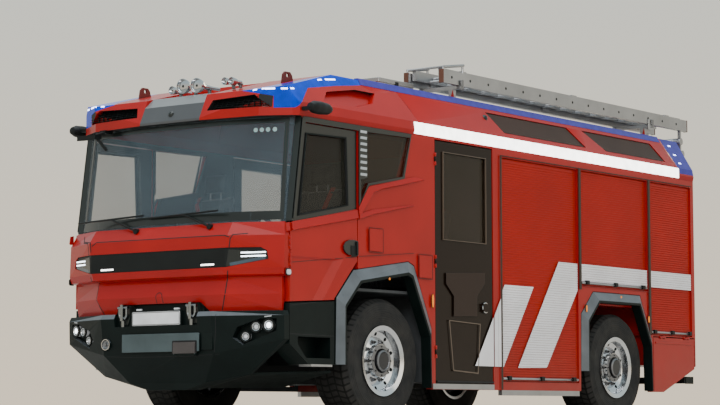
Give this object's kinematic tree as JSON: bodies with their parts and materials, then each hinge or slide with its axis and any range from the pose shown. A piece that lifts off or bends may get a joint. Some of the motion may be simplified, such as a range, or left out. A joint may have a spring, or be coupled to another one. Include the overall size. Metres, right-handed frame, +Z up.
{
  "type": "fire engine",
  "caption": "Two-axle electric fire engine with a forward crew cab, roller shutter lockers, roof ladder, steered front wheels and opening doors, hatch and flaps.",
  "frame": {"origin": "on the ground under the centre of the vehicle's bounding box", "axes": "+Z up, the nose points along -Y, the vehicle's left side is at +X"},
  "size_m": [2.738, 7.31, 3.2538],
  "materials": {
    "red_paint": "gloss",
    "shutter_slats": "satin",
    "dark_frame": "satin",
    "battery_case": "satin",
    "black_plastic": "satin",
    "cab_lining": "matte",
    "seat_cloth": "matte",
    "clear_lamp": "gloss",
    "blue_lamp": "gloss",
    "red_lamp": "gloss",
    "polished_steel": "polished",
    "aluminium": "satin",
    "rim_alloy": "polished",
    "tyre_rubber": "matte",
    "bronze_panel": "gloss",
    "clear_glass": "gloss",
    "dark_glass": "gloss"
  },
  "bodies": {
    "vehicle": {"chassis_frame": "dark_frame", "front_axle": "dark_frame", "rear_axle": "dark_frame", "traction_battery": "battery_case", "front_bumper": "black_plastic", "bumper_lamps": "clear_lamp", "tow_shackles": "polished_steel", "cab_floor": "cab_lining", "cab_front_panel": "red_paint", "headlamp_band": "black_plastic", "headlamps": "clear_lamp", "windscreen": "clear_glass", "cab_side_left": "red_paint", "cab_side_right": "red_paint", "cab_roof": "red_paint", "corner_beacons": "blue_lamp", "fixed_glass": "dark_glass", "dashboard": "cab_lining", "front_seats": "seat_cloth", "crew_seats": "seat_cloth", "entry_steps": "black_plastic", "wheel_flares": "black_plastic", "body_shell": "red_paint", "body_roof": "red_paint", "roller_shutters": "shutter_slats", "sill_rails": "aluminium", "scene_light_strips": "clear_lamp", "ridge_light_strips": "blue_lamp", "roof_ladder": "aluminium", "roof_horns": "polished_steel", "mirror_cameras": "black_plastic", "wipers": "black_plastic", "rear_step": "black_plastic", "rear_lamps": "red_lamp"},
    "steering_wheel": {"steering_wheel": "cab_lining"},
    "knuckle_left": {"knuckle_left": "dark_frame"},
    "knuckle_right": {"knuckle_right": "dark_frame"},
    "tie_rod": {"tie_rod": "dark_frame"},
    "wheel_front_left": {"rim_front_left": "rim_alloy", "tyre_front_left": "tyre_rubber"},
    "wheel_front_right": {"rim_front_right": "rim_alloy", "tyre_front_right": "tyre_rubber"},
    "wheel_rear_left": {"rim_rear_left": "rim_alloy", "tyre_rear_left": "tyre_rubber"},
    "wheel_rear_right": {"rim_rear_right": "rim_alloy", "tyre_rear_right": "tyre_rubber"},
    "front_door_left": {"front_door_left": "red_paint", "front_door_glass_left": "clear_glass"},
    "crew_door_left": {"crew_door_left": "bronze_panel", "crew_door_glass_left": "dark_glass"},
    "locker_flap_left": {"locker_flap_left": "red_paint"},
    "front_door_right": {"front_door_right": "red_paint", "front_door_glass_right": "clear_glass"},
    "crew_door_right": {"crew_door_right": "bronze_panel", "crew_door_glass_right": "dark_glass"},
    "locker_flap_right": {"locker_flap_right": "red_paint"},
    "rear_hatch": {"rear_hatch": "red_paint"}
  },
  "joints": [
    {"name": "steer_left", "type": "hinge", "parent": "vehicle", "child": "knuckle_left", "pos_m": [0.8, -2.045, 0.525], "axis": [0, 0, 1], "range_deg": [-38, 38]},
    {"name": "steer_right", "type": "hinge", "parent": "vehicle", "child": "knuckle_right", "pos_m": [-0.8, -2.045, 0.525], "axis": [0, 0, 1], "range_deg": [-38, 38]},
    {"name": "tie_rod_pin", "type": "hinge", "parent": "knuckle_left", "child": "tie_rod", "pos_m": [0.8, -1.915, 0.39], "axis": [0, 0, 1], "range_deg": [-38, 38]},
    {"name": "steering_wheel_turn", "type": "hinge", "parent": "vehicle", "child": "steering_wheel", "pos_m": [0.56, -3.005, 1.58], "axis": [0, 0.7431, 0.6691], "range_deg": [-540, 540]},
    {"name": "spin_front_left", "type": "hinge", "parent": "knuckle_left", "child": "wheel_front_left", "pos_m": [0.9575, -2.045, 0.525], "axis": [1, 0, 0], "continuous": true},
    {"name": "spin_front_right", "type": "hinge", "parent": "knuckle_right", "child": "wheel_front_right", "pos_m": [-0.9575, -2.045, 0.525], "axis": [1, 0, 0], "continuous": true},
    {"name": "spin_rear_left", "type": "hinge", "parent": "vehicle", "child": "wheel_rear_left", "pos_m": [0.9575, 1.855, 0.525], "axis": [1, 0, 0], "continuous": true},
    {"name": "spin_rear_right", "type": "hinge", "parent": "vehicle", "child": "wheel_rear_right", "pos_m": [-0.9575, 1.855, 0.525], "axis": [1, 0, 0], "continuous": true},
    {"name": "front_door_hinge_left", "type": "hinge", "parent": "vehicle", "child": "front_door_left", "pos_m": [1.177, -3.356, 1.4], "axis": [0, 0, -1], "range_deg": [0, 75]},
    {"name": "crew_door_hinge_left", "type": "hinge", "parent": "vehicle", "child": "crew_door_left", "pos_m": [1.177, -1.302, 1.4], "axis": [0, 0, -1], "range_deg": [0, 85]},
    {"name": "locker_flap_hinge_left", "type": "hinge", "parent": "vehicle", "child": "locker_flap_left", "pos_m": [1.177, 2.995, 0.845], "axis": [0, -1, 0], "range_deg": [0, 95]},
    {"name": "front_door_hinge_right", "type": "hinge", "parent": "vehicle", "child": "front_door_right", "pos_m": [-1.177, -3.356, 1.4], "axis": [0, 0, 1], "range_deg": [0, 75]},
    {"name": "crew_door_hinge_right", "type": "hinge", "parent": "vehicle", "child": "crew_door_right", "pos_m": [-1.177, -1.302, 1.4], "axis": [0, 0, 1], "range_deg": [0, 85]},
    {"name": "locker_flap_hinge_right", "type": "hinge", "parent": "vehicle", "child": "locker_flap_right", "pos_m": [-1.177, 2.995, 0.845], "axis": [0, 1, 0], "range_deg": [0, 95]},
    {"name": "rear_hatch_hinge", "type": "hinge", "parent": "vehicle", "child": "rear_hatch", "pos_m": [0, 3.457, 2.405], "axis": [1, 0, 0], "range_deg": [0, 90]}
  ],
  "couplings": [
    {"joint": "steer_right", "follows": "steer_left", "ratio": 1},
    {"joint": "tie_rod_pin", "follows": "steer_left", "ratio": -1}
  ]
}
